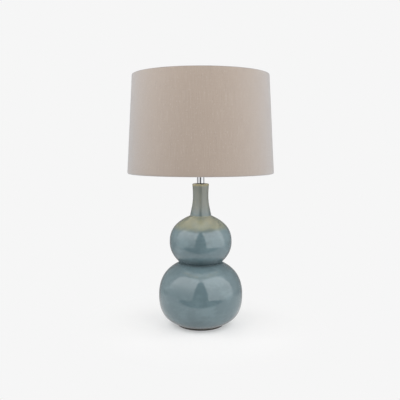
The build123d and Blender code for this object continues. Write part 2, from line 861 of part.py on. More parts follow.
with BuildPart() as bulb_stem:
    with BuildSketch(Plane.XZ):
        with BuildLine():
            # its foot flares out and is fused to the inside of the glass neck
            flare_radius = glass_neck_radius - glass_thickness
            flare_top = glass_seat + flare_height
            Polyline((0, glass_seat), (flare_radius, glass_seat), (flare_radius, glass_seat + flare_edge))
            Bezier((flare_radius, glass_seat + flare_edge), (stem_radius, glass_seat + flare_edge),
                   (stem_radius, flare_top - flare_edge), (stem_radius, flare_top))
            Bezier((stem_radius, flare_top), (stem_radius, flare_top + stem_taper),
                   (stem_tip_radius, stem_top - stem_taper), (stem_tip_radius, stem_top))
            Polyline((stem_tip_radius, stem_top), (post_radius, stem_top + stem_tip_height),
                     (post_radius, post_top), (0, post_top), (0, glass_seat))
        make_face()
    revolve(axis=Axis.Z)
bulb_stem.part.label = "bulb_stem"


def strip_ends(turn):
    """The foot and the head of one light strip, which leans in towards the top."""
    around = strip_first_angle + 360 / strip_count * turn
    strip_rise = (strip_length**2 - (strip_foot_circle - strip_head_circle) ** 2) ** 0.5
    strip_foot = stem_top - strip_drop
    foot_point = Vector(*step_from((0, 0), around, strip_foot_circle), strip_foot)
    head_point = Vector(*step_from((0, 0), around, strip_head_circle), strip_foot + strip_rise)
    return foot_point, head_point


with BuildPart() as filament_strips:
    for turn in range(strip_count):
        foot_point, head_point = strip_ends(turn)
        with BuildSketch(Plane(origin=foot_point, z_dir=head_point - foot_point)):
            Circle(strip_radius)
        extrude(amount=strip_length)
filament_strips.part.label = "filament_strips"

with BuildPart() as filament_leads:
    # a wire runs from each strip's foot into the stem, and one from each head into the post
    for turn in range(strip_count):
        for strip_end, drop in zip(strip_ends(turn), (foot_lead_drop, head_lead_drop)):
            hub_point = Vector(0, 0, strip_end.Z - drop)
            run = hub_point - strip_end
            with BuildSketch(Plane(origin=strip_end, z_dir=run)):
                Circle(lead_radius)
            extrude(amount=run.length)
    add(bulb_stem.part, mode=Mode.SUBTRACT)
    add(filament_strips.part, mode=Mode.SUBTRACT)
filament_leads.part.label = "filament_leads"

finished_pieces = (
    gourd_body, felt_pad, cord_grommet, neck_nipple, inner_washer, nipple_nut, neck_gasket, neck_tube,
    holder_cap, cap_grub_screw, holder_core, terminal_blocks, terminal_screws, centre_contact,
    screw_shell, holder_skirt, switch_bar, switch_bridge, switch_pins, shade_ring,
    shade_fabric, shade_liner, top_wire_ring, bottom_wire_ring, carrier_ring, carrier_arms,
    bulb_contact, bulb_insulator, bulb_cap, bulb_glass, bulb_stem, filament_strips, filament_leads,
)
for piece in finished_pieces:
    export_step(piece.part, f"parts/{piece.part.label}.step")

print(f"overall height {shade_top:.1f}, bulb top {bulb_top:.1f}")
print(f"cord inlet at {inlet_plane.origin}, pointing {inlet_plane.z_dir}")
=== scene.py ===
import json
import math

import bmesh
import bpy
from mathutils import Matrix, Vector


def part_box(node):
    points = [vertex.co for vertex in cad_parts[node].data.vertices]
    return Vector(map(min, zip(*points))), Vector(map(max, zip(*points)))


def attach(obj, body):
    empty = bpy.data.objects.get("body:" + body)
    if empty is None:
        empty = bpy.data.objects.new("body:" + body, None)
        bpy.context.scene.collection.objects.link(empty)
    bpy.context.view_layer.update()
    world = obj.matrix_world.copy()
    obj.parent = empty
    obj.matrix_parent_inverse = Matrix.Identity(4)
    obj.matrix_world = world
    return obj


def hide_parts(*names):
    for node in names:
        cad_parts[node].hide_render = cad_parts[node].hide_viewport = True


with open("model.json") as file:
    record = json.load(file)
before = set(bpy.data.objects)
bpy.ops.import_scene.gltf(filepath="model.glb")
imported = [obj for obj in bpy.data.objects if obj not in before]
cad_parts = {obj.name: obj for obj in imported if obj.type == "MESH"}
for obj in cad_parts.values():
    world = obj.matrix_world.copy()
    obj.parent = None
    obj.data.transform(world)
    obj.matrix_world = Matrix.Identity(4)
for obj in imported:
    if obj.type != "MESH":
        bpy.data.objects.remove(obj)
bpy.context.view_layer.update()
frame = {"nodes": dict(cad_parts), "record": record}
nodes = frame["nodes"]
print("frame loaded:", len(nodes), "nodes")

tiny = 1e-6    # closer than this in metres is the same place


# A node's output socket. Sums on it add Math nodes, and node() makes any other node in the same tree.
class Wire:
    def __init__(self, tree, socket=None):
        self.tree = tree
        self.socket = socket

    def node(self, kind, settings=None, inputs=None, output=0):
        made = self.tree.nodes.new(kind)
        for name, value in (settings or {}).items():
            setattr(made, name, value)
        for name, value in (inputs or {}).items():
            if isinstance(value, Wire):
                self.tree.links.new(value.socket, made.inputs[name])
            else:
                made.inputs[name].default_value = value
        return Wire(self.tree, made.outputs[output] if len(made.outputs) else None)

    def calc(self, operation, first, second=0.0):
        return self.node("ShaderNodeMath", {"operation": operation}, {0: first, 1: second})

    def __add__(self, other):
        return self.calc("ADD", self, other)

    def __radd__(self, other):
        return self.calc("ADD", other, self)

    def __sub__(self, other):
        return self.calc("SUBTRACT", self, other)

    def __rsub__(self, other):
        return self.calc("SUBTRACT", other, self)

    def __mul__(self, other):
        return self.calc("MULTIPLY", self, other)


def paint(red, green, blue):
    # a colour as seen on screen, 0 to 255, turned into the linear one that shaders take
    shares = (value / 255 for value in (red, green, blue))
    return (*(s / 12.92 if s <= 0.04045 else ((s + 0.055) / 1.055) ** 2.4 for s in shares), 1.0)


def grey(level):
    return (level, level, level, 1.0)


def mixColours(factor, first, second):
    return factor.node("ShaderNodeMix", {"data_type": "RGBA"}, {0: factor, 6: first, 7: second}, 2)


def rising(value, low, high):
    # 0 below low, 1 above high, smooth between; low above high makes it fall
    return value.node("ShaderNodeMapRange", {"interpolation_type": "SMOOTHSTEP"},
                      {"Value": value, "From Min": low, "From Max": high})


def noise(vector, scale, detail, roughness=0.5):
    return vector.node("ShaderNodeTexNoise", None,
                       {"Vector": vector, "Scale": scale, "Detail": detail, "Roughness": roughness})


def stretched(vector, scale, turn=(0.0, 0.0, 0.0)):
    return vector.node("ShaderNodeMapping", None, {"Vector": vector, "Scale": scale, "Rotation": turn})


def axisOf(vector, letter):
    return vector.node("ShaderNodeSeparateXYZ", None, {0: vector}, letter)


def joinAxes(x, y, z):
    return x.node("ShaderNodeCombineXYZ", None, {"X": x, "Y": y, "Z": z})


def lengthOf(vector):
    return vector.node("ShaderNodeVectorMath", {"operation": "LENGTH"}, {0: vector}, "Value")


def bumped(height, distance, strength):
    inputs = {"Height": height, "Distance": distance, "Strength": strength}
    return height.node("ShaderNodeBump", None, inputs)


def startFinish(name):
    # an empty material, its tree and its place on the object in metres
    material = bpy.data.materials.new(name)
    material.use_nodes = True
    material.node_tree.nodes.clear()
    root = Wire(material.node_tree)
    return material, root, root.node("ShaderNodeTexCoord", output="Object")


def closeFinish(root, inputs, shader="ShaderNodeBsdfPrincipled"):
    surface = root.node(shader, None, inputs)
    root.node("ShaderNodeOutputMaterial", None, {"Surface": surface})


# heights and widths are in metres, and a share is how much of a colour or a roughness is laid over
glazeLook = {
    "colour": paint(105, 125, 131),
    "cloud": paint(117, 138, 144),
    "cloudScale": 16.0,
    "waistHeight": 0.150,
    # dark glaze, also laid on as painted shade in the waist's crevice
    "darkPoolAndShade": paint(56, 72, 77),
    "poolAndShadeShare": 0.8,
    "poolBelow": 0.003,
    "poolAbove": 0.022,
    "poolFull": 0.006,
    "creviceWidth": 0.004,
    "shoulderHeight": 0.2625,
    # tan laid on the upper bulb's shoulder is a painted reflection of the shade's lit inside
    "shoulderPaintedReflection": paint(171, 167, 130),
    "shoulderDepth": 0.034,
    "shoulderFade": 0.55,
    "shoulderWander": 0.006,
    # the neck's olive-grey is painted warm light from the shade's inside
    "neckPaintedWarmLight": paint(143, 144, 134),
    "neckShare": 0.75,
    # the olive round the lip is a painted warm highlight
    "rimPaintedHighlight": paint(166, 161, 132),
    "rimShare": 0.9,
    "rimWidth": 0.0058,
    "rimWander": 0.0022,
    "clay": paint(196, 184, 164),
    "glazeEdge": 0.0038,
    "edgeWander": 0.0012,
    "speckScale": 900.0,
    "speckShare": 0.22,
    "roughness": 0.085,
    "clayRoughness": 0.75,
    "creviceRoughness": 0.4,
    "neckRoughness": 0.22,
    "coatRoughness": 0.03,
    "refraction": 1.52,
    "swellDepth": 0.0006,
}


def makeGlaze():
    look = glazeLook
    material, root, place = startFinish("duckEggGlaze")
    height = axisOf(place, "Z")
    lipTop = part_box("gourd_body")[1].z
    clouds = noise(stretched(place, (1.0, 1.0, 1.6)), look["cloudScale"], 4.0, 0.6)
    grain = noise(place, 420.0, 3.0, 0.6)
    wander = noise(place, 60.0, 2.0)
    colour = mixColours(rising(clouds, 0.42, 0.66), look["colour"], look["cloud"])
    shoulderTop = look["shoulderHeight"]
    # painted warm light: the neck is coloured olive-grey as if lit from the shade's inside
    neckShare = rising(height, shoulderTop - 0.012, shoulderTop + 0.03) * look["neckShare"]
    colour = mixColours(neckShare, colour, look["neckPaintedWarmLight"])
    # painted reflection: the shade's warm inside, laid on as tan over the top of the upper bulb
    shoulderReflectionMask = (rising(height + (wander - 0.5) * look["shoulderWander"], shoulderTop - look["shoulderDepth"],
                   shoulderTop - look["shoulderDepth"] * look["shoulderFade"])
            * rising(height, shoulderTop + 0.003, shoulderTop - 0.0005))
    colour = mixColours(shoulderReflectionMask * (clouds * 0.9 + 0.05), colour, look["shoulderPaintedReflection"])
    # a painted warm highlight, olive, round the lip
    rimEdge = lipTop - look["rimWidth"] + (wander - 0.5) * look["rimWander"]
    overRim = rising(height - rimEdge, -0.0015, 0.0022)
    colour = mixColours(overRim * look["rimShare"], colour, look["rimPaintedHighlight"])
    # darker just over the waist: the glaze pools there, and painted shade deepens the crevice, where the
    # glaze lies rough
    fromWaist = height - look["waistHeight"]
    poolAndCreviceShade = (rising(fromWaist, -look["poolBelow"], 0.0)
              * rising(fromWaist, look["poolAbove"], look["poolFull"]))
    colour = mixColours(poolAndCreviceShade * look["poolAndShadeShare"], colour, look["darkPoolAndShade"])
    crevice = rising(height.calc("ABSOLUTE", fromWaist), look["creviceWidth"], look["creviceWidth"] / 4)
    specks = rising(noise(place, look["speckScale"], 1.0), 0.70, 0.78)
    colour = mixColours(specks * look["speckShare"], colour, look["darkPoolAndShade"])
    # bare clay shows below the glaze at the foot
    glazed = rising(height - look["glazeEdge"] + (wander - 0.5) * look["edgeWander"], -0.0004, 0.0004)
    colour = mixColours(glazed, look["clay"], colour)
    swell = noise(place, 9.0, 1.0) * 0.6 + grain * 0.01
    closeFinish(root, {
        "Base Color": colour,
        "Roughness": look["clayRoughness"] - glazed * (look["clayRoughness"] - look["roughness"])
                     + crevice * look["creviceRoughness"] + neckShare * look["neckRoughness"],
        "Coat Weight": glazed * (1.0 - crevice) * (1.0 - neckShare * 0.9),
        "Coat Roughness": look["coatRoughness"],
        "IOR": look["refraction"],
        "Normal": bumped(swell, look["swellDepth"], 0.5),
    })
    return material


feltLook = {
    "dark": paint(34, 34, 36),
    "light": paint(70, 70, 73),
    "worn": paint(88, 88, 90),
    "fibreScale": 900.0,
    "depth": 0.0005,
}


def makeFelt():
    look = feltLook
    material, root, place = startFinish("pressedFelt")
    fibres = noise(stretched(place, (1.0, 2.5, 1.0)), look["fibreScale"], 4.0, 0.7)
    patches = noise(place, 70.0, 3.0)
    colour = mixColours(fibres, look["dark"], look["light"])
    colour = mixColours(rising(patches, 0.35, 0.7) * 0.3, colour, look["worn"])
    closeFinish(root, {"Base Color": colour, "Roughness": 0.95, "Sheen Weight": 0.6, "Sheen Roughness": 0.5,
                       "Normal": bumped(fibres, look["depth"], 0.8)})
    return material


# one recipe for what is moulded, fired or enamelled: worn is the colour where hands rub it, and depth the
# grain's height in metres
mouldedLooks = {
    "grommet_rubber": {"name": "softRubber", "colour": paint(30, 30, 32), "worn": paint(58, 57, 56),
                       "roughness": 0.55, "grain": 700.0, "depth": 0.00012},
    "holder_plastic": {"name": "ivoryMoulding", "colour": paint(233, 230, 221),
                       "worn": paint(214, 209, 197), "roughness": 0.28, "grain": 500.0, "depth": 0.00003},
    "switch_plastic": {"name": "switchMoulding", "colour": paint(229, 226, 217),
                       "worn": paint(204, 198, 186), "roughness": 0.33, "grain": 600.0, "depth": 0.00003},
    "steatite": {"name": "firedSteatite", "colour": paint(228, 222, 206), "worn": paint(206, 196, 176),
                 "roughness": 0.62, "grain": 850.0, "depth": 0.00010},
    "liner": {"name": "whiteLiner", "colour": paint(236, 233, 226), "worn": paint(231, 227, 219),
              "roughness": 0.5, "grain": 260.0, "depth": 0.00008},
    "wire_enamel": {"name": "whiteEnamel", "colour": paint(226, 225, 220), "worn": paint(196, 194, 187),
                    "roughness": 0.36, "grain": 900.0, "depth": 0.00006},
    "black_glass": {"name": "blackInsulator", "colour": paint(22, 22, 24), "worn": paint(44, 42, 42),
                    "roughness": 0.12, "grain": 300.0, "depth": 0.00005},
    "phosphor": {"name": "coatedStrip", "colour": paint(226, 184, 92), "worn": paint(205, 156, 62),
                 "roughness": 0.6, "grain": 1200.0, "depth": 0.00008},
}


def makeMoulded(look):
    material, root, place = startFinish(look["name"])
    grain = noise(place, look["grain"], 3.0, 0.6)
    handled = rising(noise(place, 35.0, 4.0, 0.65), 0.5, 0.75)
    colour = mixColours(handled * 0.5, look["colour"], look["worn"])
    closeFinish(root, {"Base Color": colour, "Roughness": look["roughness"] + handled * 0.08,
                       "Normal": bumped(grain, look["depth"], 0.6)})
    return material


# one recipe for the metals: dull is the tarnished colour, brush the grain's scale along X, Y and Z
metalLooks = {
    "plated_steel": {"name": "zincPlate", "colour": paint(196, 197, 196), "dull": paint(160, 161, 158),
                     "roughness": 0.30, "brush": (900.0, 900.0, 60.0)},
    "chrome": {"name": "polishedChrome", "colour": paint(214, 215, 217), "dull": paint(190, 191, 193),
               "roughness": 0.05, "brush": (300.0, 300.0, 300.0)},
    "brass": {"name": "stampedBrass", "colour": paint(214, 178, 104), "dull": paint(168, 132, 72),
              "roughness": 0.24, "brush": (500.0, 500.0, 120.0)},
    "bulb_metal": {"name": "nickelCap", "colour": paint(206, 205, 200), "dull": paint(168, 166, 160),
                   "roughness": 0.22, "brush": (60.0, 60.0, 900.0)},
    "solder": {"name": "dullSolder", "colour": paint(182, 182, 180), "dull": paint(134, 133, 130),
               "roughness": 0.38, "brush": (500.0, 500.0, 500.0)},
}


def makeMetal(look):
    material, root, place = startFinish(look["name"])
    brushing = noise(stretched(place, look["brush"]), 1.0, 3.0, 0.6)
    tarnish = rising(noise(place, 90.0, 4.0, 0.6), 0.45, 0.8)
    colour = mixColours(tarnish * 0.6, look["colour"], look["dull"])
    closeFinish(root, {"Base Color": colour, "Metallic": 1.0,
                       "Roughness": look["roughness"] + brushing * 0.06 + tarnish * 0.05,
                       "Normal": bumped(brushing, 0.00001, 0.4)})
    return material


bulbGlassLook = {
    "colour": paint(250, 250, 248),
    "refraction": 1.46,
    "rippleScale": 30.0,
    "rippleDepth": 0.0002,
}


def makeBulbGlass():
    look = bulbGlassLook
    material, root, place = startFinish("clearBulbGlass")
    ripple = noise(place, look["rippleScale"], 2.0)
    closeFinish(root, {"Base Color": look["colour"], "Roughness": 0.0, "IOR": look["refraction"],
                       "Transmission Weight": 1.0, "Normal": bumped(ripple, look["rippleDepth"], 0.15)})
    return material


# pitches, widths and depths are in metres; slubs and flecks are scales round the shade and up it
linenLook = {
    "colour": paint(168, 146, 125),
    "dark": paint(148, 128, 110),
    "light": paint(190, 173, 156),
    "sheen": paint(216, 237, 255),
    "sheenWeight": 0.55,
    "sheenRoughness": 0.8,
    "roughness": 0.86,
    "edgeWidth": 0.0022,
    "warpPitch": 0.00058,
    "weftPitch": 0.00066,
    "meanRadius": 0.1695,
    "warpSlubs": (900.0, 26.0, 1.0),
    "weftSlubs": (22.0, 820.0, 1.0),
    "broadStreaks": (260.0, 12.0, 1.0),
    "paleFlecks": (430.0, 150.0, 1.0),
    "darkFlecks": (360.0, 210.0, 1.0),
    "darkFleckTurn": (0.0, 0.0, 0.9),
    "depth": 0.00022,
}


def makeLinen():
    look = linenLook
    material, root, place = startFinish("taupeSlubLinen")
    x, y, z = (axisOf(place, letter) for letter in "XYZ")
    radius = lengthOf(joinAxes(x, y, 0.0))
    around = x.calc("ARCTAN2", x, y * -1.0) * look["meanRadius"]
    along = z - radius
    # plain weave: each thread rises where it passes over the other
    warpWave = x.calc("SINE", around * (math.pi / look["warpPitch"]))
    weftWave = x.calc("SINE", along * (math.pi / look["weftPitch"]))
    over = rising(warpWave * weftWave, -0.12, 0.12)
    warpHeight = x.calc("ABSOLUTE", warpWave)
    weftHeight = x.calc("ABSOLUTE", weftWave)
    weave = weftHeight + over * (warpHeight - weftHeight)
    # slubs: threads that thicken and thin along their length
    clothPlace = joinAxes(around, along, 0.0)
    warpSlubs = noise(stretched(clothPlace, look["warpSlubs"]), 1.0, 3.0, 0.55)
    weftSlubs = noise(stretched(clothPlace, look["weftSlubs"]), 1.0, 3.0, 0.55)
    broadStreaks = noise(stretched(clothPlace, look["broadStreaks"]), 1.0, 2.0, 0.5)
    colour = mixColours(rising(warpSlubs, 0.44, 0.74) * 0.32, look["colour"], look["light"])
    colour = mixColours(rising(weftSlubs, 0.56, 0.78) * 0.4, colour, look["dark"])
    colour = mixColours(rising(broadStreaks, 0.55, 0.78) * 0.22, colour, look["dark"])
    # flecks of paler and darker fibre
    paleNoise = noise(stretched(clothPlace, look["paleFlecks"]), 1.0, 1.0)
    darkNoise = noise(stretched(clothPlace, look["darkFlecks"], look["darkFleckTurn"]), 1.0, 1.0)
    colour = mixColours(rising(paleNoise, 0.64, 0.72) * 0.5, colour, look["light"])
    colour = mixColours(rising(darkNoise, 0.66, 0.74) * 0.6, colour, look["dark"])
    # painted shade in the low places of the weave, between the threads
    colour = mixColours((1.0 - weave) * 0.4, colour, look["dark"])
    # the rolled edges are drawn a little darker
    low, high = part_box("shade_fabric")
    edgeDarkening = (rising(z, high.z - look["edgeWidth"], high.z - look["edgeWidth"] / 2)
               + rising(z, low.z + look["edgeWidth"], low.z + look["edgeWidth"] / 2))
    colour = mixColours(edgeDarkening * 0.7, colour, look["dark"])
    height = weave * 0.7 + warpSlubs * 0.5 + weftSlubs * 0.4
    closeFinish(root, {"Base Color": colour, "Roughness": look["roughness"],
                       "Sheen Weight": look["sheenWeight"], "Sheen Roughness": look["sheenRoughness"],
                       "Sheen Tint": look["sheen"], "Specular IOR Level": 0.3,
                       "Normal": bumped(height, look["depth"], 0.7)})
    return material


finishes = {slot: makeMoulded(look) for slot, look in mouldedLooks.items()}
finishes.update({slot: makeMetal(look) for slot, look in metalLooks.items()})
finishes.update({"glaze": makeGlaze(), "felt": makeFelt()})
finishes.update({"bulb_glass": makeBulbGlass(), "linen": makeLinen()})
slotOf = {part["node"]: part["material_slot"] for part in frame["record"]["subparts"]}
for nodeName, node in nodes.items():
    node.data.materials.clear()
    node.data.materials.append(finishes[slotOf[nodeName]])
print("finishes made:", len(finishes))


def addPiece(name, bm, body, slot):
    # a finished mesh becomes a smooth piece of the lamp, riding on one body
    bmesh.ops.recalc_face_normals(bm, faces=bm.faces)
    mesh = bpy.data.meshes.new(name)
    bm.to_mesh(mesh)
    bm.free()
    for face in mesh.polygons:
        face.use_smooth = True
    piece = bpy.data.objects.new(name, mesh)
    bpy.context.scene.collection.objects.link(piece)
    mesh.materials.append(finishes[slot])
    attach(piece, body)
    return piece


def thicken(piece, name, thickness, offset):
    # an offset of 0 lays the wall to both sides of the mesh, and -1 all inside it
    wall = piece.modifiers.new(name, "SOLIDIFY")
    wall.thickness = thickness
    wall.offset = offset


def turnedAbout(bm, verts, angle):
    # verts turned as they are about the lamp's axis
    bmesh.ops.rotate(bm, verts=verts, cent=(0, 0, 0), matrix=Matrix.Rotation(angle, 3, "Z"))


def outlineChain(bm, points):
    # an open outline in the XZ plane, one edge between neighbours
    verts = [bm.verts.new((x, 0.0, z)) for x, z in points]
    for first, second in zip(verts, verts[1:]):
        bm.edges.new((first, second))
    return verts


def turnPart(bm, angle, steps):
    # the whole outline drawn round the lamp's axis through an angle
    bmesh.ops.spin(bm, geom=bm.verts[:] + bm.edges[:], cent=(0, 0, 0), axis=(0, 0, 1),
                   angle=angle, steps=steps)


def turnFull(bm, steps):
    # the whole outline drawn all the way round, and closed
    bmesh.ops.spin(bm, geom=bm.verts[:] + bm.edges[:], cent=(0, 0, 0), axis=(0, 0, 1),
                   angle=math.tau, steps=steps, use_merge=True, use_duplicate=False)
    bmesh.ops.remove_doubles(bm, verts=bm.verts, dist=tiny)


# sizes in metres; the cloth runs on the two wires as the frame has them
clothShape = {
    "thickness": 0.0006,
    "wireGap": 0.0004,
    "rollEnd": 105.0,        # where the cloth's edge ends on top of the wire, in degrees
    "rollSteps": 16,
    "wallCuts": 22,
    "aroundSteps": 240,
    "seamWidth": 0.010,
    "seamProud": 0.0005,
    "seamSteps": 6,
}


def wireCentre(node):
    low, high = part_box(node)
    wireRadius = (high.z - low.z) / 2
    return Vector((high.x - wireRadius, 0.0, low.z + wireRadius)), wireRadius


lowWire, wireRadius = wireCentre("bottom_wire_ring")
highWire, _ = wireCentre("top_wire_ring")
wallLean = math.atan2(lowWire.x - highWire.x, highWire.z - lowWire.z)
clothMiddle = wireRadius + clothShape["wireGap"] + clothShape["thickness"] / 2


def spot(centre, angle, distance):
    # a point in the XZ plane, at an angle up from +X
    return centre + Vector((math.cos(angle), 0.0, math.sin(angle))) * distance


def makeCloth():
    shape = clothShape
    bm = bmesh.new()
    rollEnd = math.radians(shape["rollEnd"])
    start = bm.verts.new(spot(lowWire, rollEnd, clothMiddle))
    # round the bottom wire, up the wall, and round the top wire
    roll = bmesh.ops.spin(bm, geom=[start], cent=lowWire, axis=(0, -1, 0),
                          angle=math.tau - rollEnd + wallLean, steps=shape["rollSteps"])
    wallFoot = next(item for item in roll["geom_last"] if isinstance(item, bmesh.types.BMVert))
    wallHead = bm.verts.new(spot(highWire, wallLean, clothMiddle))
    wallEdge = bm.edges.new((wallFoot, wallHead))
    bmesh.ops.spin(bm, geom=[wallHead], cent=highWire, axis=(0, -1, 0),
                   angle=math.tau - rollEnd - wallLean, steps=shape["rollSteps"])
    bmesh.ops.subdivide_edges(bm, edges=[wallEdge], cuts=shape["wallCuts"])
    turnedAbout(bm, bm.verts, math.pi / 2)
    turnFull(bm, shape["aroundSteps"])
    bmesh.ops.recalc_face_normals(bm, faces=bm.faces)
    cloth = addPiece("shadeCloth", bm, "shade", "linen")
    thicken(cloth, "clothThickness", shape["thickness"], 0.0)
    return cloth


def makeSeam():
    # the lapped join down the back: a narrow strip that stands just proud of the wall
    shape = clothShape
    bm = bmesh.new()
    outward = wireRadius + shape["wireGap"] + shape["thickness"] + shape["seamProud"] / 2
    foot = spot(lowWire, wallLean, outward)
    head = spot(highWire, wallLean, outward)
    wallHeight = head.z - foot.z
    outlineChain(bm, [(foot.x, foot.z), (head.x, head.z)])
    halfTurn = shape["seamWidth"] / 2 / lowWire.x
    turnedAbout(bm, bm.verts, math.pi / 2 - halfTurn)
    turnPart(bm, 2 * halfTurn, shape["seamSteps"])
    upright = [edge for edge in bm.edges if abs(edge.verts[0].co.z - edge.verts[1].co.z) > wallHeight / 2]
    bmesh.ops.subdivide_edges(bm, edges=upright, cuts=shape["wallCuts"])
    seam = addPiece("shadeSeam", bm, "shade", "linen")
    thicken(seam, "lapThickness", shape["seamProud"], 0.0)
    return seam


cloth = makeCloth()
seam = makeSeam()
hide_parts("shade_fabric")


# the bulb cap's screw thread, in metres: a smooth wall whose radius follows a helix
threadShape = {
    "depth": 0.0009,
    "pitch": 0.00363,
    "plainBelow": 0.0024,
    "plainAbove": 0.0030,
    "runOut": 0.0015,
    "flare": 0.0015,
    "wall": 0.00035,
    "aroundSteps": 96,
    "rows": 64,
}


def makeBulbCap():
    shape = threadShape
    low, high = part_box("bulb_cap")
    crest = high.x
    root = crest - shape["depth"]
    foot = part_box("bulb_insulator")[1].x
    threadLow, threadHigh = low.z + shape["plainBelow"], high.z - shape["plainAbove"]
    bm = bmesh.new()
    verts = outlineChain(bm, [(foot, low.z), (root, threadLow), (root, threadHigh),
                              (root, high.z - shape["flare"]), (crest, high.z)])
    threadEdge = next(edge for edge in verts[1].link_edges if verts[2] in edge.verts)
    bmesh.ops.subdivide_edges(bm, edges=[threadEdge], cuts=shape["rows"])
    turnFull(bm, shape["aroundSteps"])
    for vert in bm.verts:
        height = vert.co.z
        if threadLow - tiny <= height <= threadHigh + tiny:
            fade = min(1.0, (height - threadLow) / shape["runOut"], (threadHigh - height) / shape["runOut"])
            turn = math.atan2(vert.co.y, vert.co.x) / math.tau
            wave = 0.5 - 0.5 * math.cos(math.tau * ((height - threadLow) / shape["pitch"] - turn))
            radius = root + shape["depth"] * max(0.0, fade) * wave
            vert.co.x, vert.co.y = (radius * part / vert.co.xy.length for part in (vert.co.x, vert.co.y))
    cap = addPiece("bulbCapThread", bm, "bulb", "bulb_metal")
    thicken(cap, "capWall", shape["wall"], -1.0)
    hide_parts("bulb_cap")


makeBulbCap()
print("bulb cap's thread made")


# the camera stands in front, a little over the lamp's middle, tilted down by tilt degrees, with the rest of
# the framing as shift: distance and height are in metres, sensorWidth in mm, and the others in pixels
cameraPlace = {
    "distance": 1.332,
    "height": 0.4312,
    "tilt": 1.95,
    "focalPixels": 553.3,
    "frameSize": 400,
    "axisRow": 164.5,
    "middleColumn": 200.65,
    "sensorWidth": 36.0,
}
cameraData = bpy.data.cameras.new("productCamera")
camera = bpy.data.objects.new("productCamera", cameraData)
bpy.context.scene.collection.objects.link(camera)
camera.location = (0.0, -cameraPlace["distance"], cameraPlace["height"])
camera.rotation_euler = (math.radians(90.0 - cameraPlace["tilt"]), 0.0, 0.0)
cameraData.sensor_width = cameraPlace["sensorWidth"]
cameraData.lens = cameraPlace["sensorWidth"] * cameraPlace["focalPixels"] / cameraPlace["frameSize"]
cameraData.shift_x = (cameraPlace["frameSize"] / 2 - cameraPlace["middleColumn"]) / cameraPlace["frameSize"]
cameraData.shift_y = (cameraPlace["axisRow"] - cameraPlace["frameSize"] / 2) / cameraPlace["frameSize"]
bpy.context.scene.camera = camera
print("camera placed")


# a pale floor, two tall soft panels in front, three at the sides and behind, and a dark room behind the
# camera: levels are 1 for white, and places are in metres
studio = {
    "background": 0.922,
    "ambient": 0.42,
    "floorDrop": -0.0003,
    "floorHalfWidth": 6.0,
    "floorNear": -6.0,
    "floorFar": 8.0,
    "floorColour": 0.80,
    "floorGlow": 0.42,
    "nearGlow": 1.17,
    "nearRadius": 0.085,
    "farRadius": 0.30,
    "contactShade": 0.4,
    "contactRadii": (0.085, 0.055),
    "tableFront": -0.26,
    "tableGloss": 0.62,
    "tableGlossBehind": 0.25,
    "tableShadow": 0.32,
    "shadowRadii": (0.05, 0.14),
    "roomColour": (0.015, 0.015, 0.016, 1.0),
    "roomHalfWidth": 4.0,
    "roomNear": -2.6,
    "roomFloor": -0.75,
    "roomTop": 3.5,
    "panelTop": 1.7,
    "panelBottoms": {"Left": 0.5, "Right": 1.15},
    "panelFadeHeight": 0.75,
    "panelFoot": -0.005,
    "panelHead": 1.45,
    "panelOuter": (1.05, 0.08),
    "panelNear": -0.78,
    "panelInnerFoot": 0.29,
    "panelInnerHead": 0.04,
    "sidePanels": {"Left": (-95.0, 2.3), "Right": (95.0, 2.0), "Back": (180.0, 2.2)},    # degrees, level
    "sideDistance": 1.6,
    "sideHalfTurn": 0.25,
    "sideFoot": 0.1,
    "sideHead": 1.5,
    "sideLevel": 0.5,
    "backLevel": 0.20,
    "backRadius": 1.7,
    "backHeight": 3.0,
    "backStart": 2.0,
    "backTurn": 176.0,
    "backSteps": 48,
    "insideWatts": 0.27,
    "insideRadius": 0.018,
    "insideAboveBulb": 0.032,
    "insideColour": paint(255, 225, 160),
}


def stageMesh(name, bm, material, seenBy):
    # a thing of the studio, and the kinds of ray that meet it
    mesh = bpy.data.meshes.new(name)
    bm.to_mesh(mesh)
    bm.free()
    thing = bpy.data.objects.new(name, mesh)
    bpy.context.scene.collection.objects.link(thing)
    mesh.materials.append(material)
    thing.visible_camera = "camera" in seenBy
    thing.visible_glossy = "glossy" in seenBy
    thing.visible_diffuse = "diffuse" in seenBy
    thing.visible_transmission = "transmission" in seenBy
    thing.visible_shadow = "shadow" in seenBy


def stagePlane(name, corners, material, seenBy):
    bm = bmesh.new()
    bm.faces.new([bm.verts.new(corner) for corner in corners])
    stageMesh(name, bm, material, seenBy)


def levelCorners(halfWidth, near, far, height):
    return [(-halfWidth, near, height), (halfWidth, near, height),
            (halfWidth, far, height), (-halfWidth, far, height)]


def seenDirectly(root):
    # 1 for the rays that should meet the white background: from the camera, in gloss and through glass
    paths = [root.node("ShaderNodeLightPath", output=name)
             for name in ("Is Camera Ray", "Is Glossy Ray", "Is Transmission Ray")]
    return root.calc("MINIMUM", paths[0] + paths[1] + paths[2], 1.0)


def makeFloorFinish():
    material, root, place = startFinish("paleFloor")
    lit = root.node("ShaderNodeBsdfDiffuse", None, {"Color": grey(studio["floorColour"])})
    far = root.node("ShaderNodeEmission", None, {"Color": grey(studio["background"])})
    near = root.node("ShaderNodeEmission", None, {"Color": grey(studio["nearGlow"])})
    # near the lamp the floor is partly lit, and takes its shadow; further off it is the plain background
    direct = seenDirectly(root)
    distance = lengthOf(place)
    underFoot = rising(distance, *studio["contactRadii"])
    glow = direct * studio["floorGlow"] * (1.0 - underFoot * studio["contactShade"])
    shaded = root.node("ShaderNodeMixShader", None, {0: glow, 1: lit, 2: near})
    flat = root.node("ShaderNodeMixShader", None, {0: direct, 1: lit, 2: far})
    away = rising(distance, studio["nearRadius"], studio["farRadius"])
    surface = root.node("ShaderNodeMixShader", None, {0: away, 1: shaded, 2: flat})
    root.node("ShaderNodeOutputMaterial", None, {"Surface": surface})
    return material


